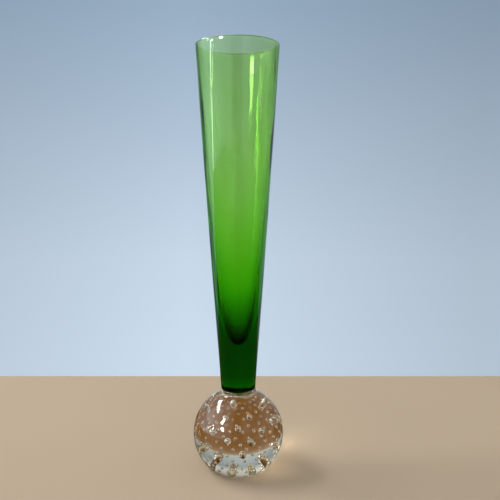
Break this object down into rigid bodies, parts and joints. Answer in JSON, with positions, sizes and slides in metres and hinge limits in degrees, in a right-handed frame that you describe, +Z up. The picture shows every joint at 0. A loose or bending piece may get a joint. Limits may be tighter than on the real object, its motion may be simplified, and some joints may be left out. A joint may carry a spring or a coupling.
{
  "type": "bud vase",
  "caption": "Slim tapered glass flute with a solid stem, standing on a clear ball full of air bubbles, with a flat ground base.",
  "frame": {"origin": "middle of the flat ground base, on the surface that the vase stands on", "axes": "+Z up along the vase's axis, towards the mouth"},
  "size_m": [0.0544, 0.0544, 0.2501],
  "materials": {
    "green_glass": "fire polished",
    "clear_glass": "fire polished, ground flat underneath"
  },
  "bodies": {
    "root": {"green_flute": "green_glass", "ball_core": "clear_glass", "ball_casing": "clear_glass"}
  },
  "joints": []
}
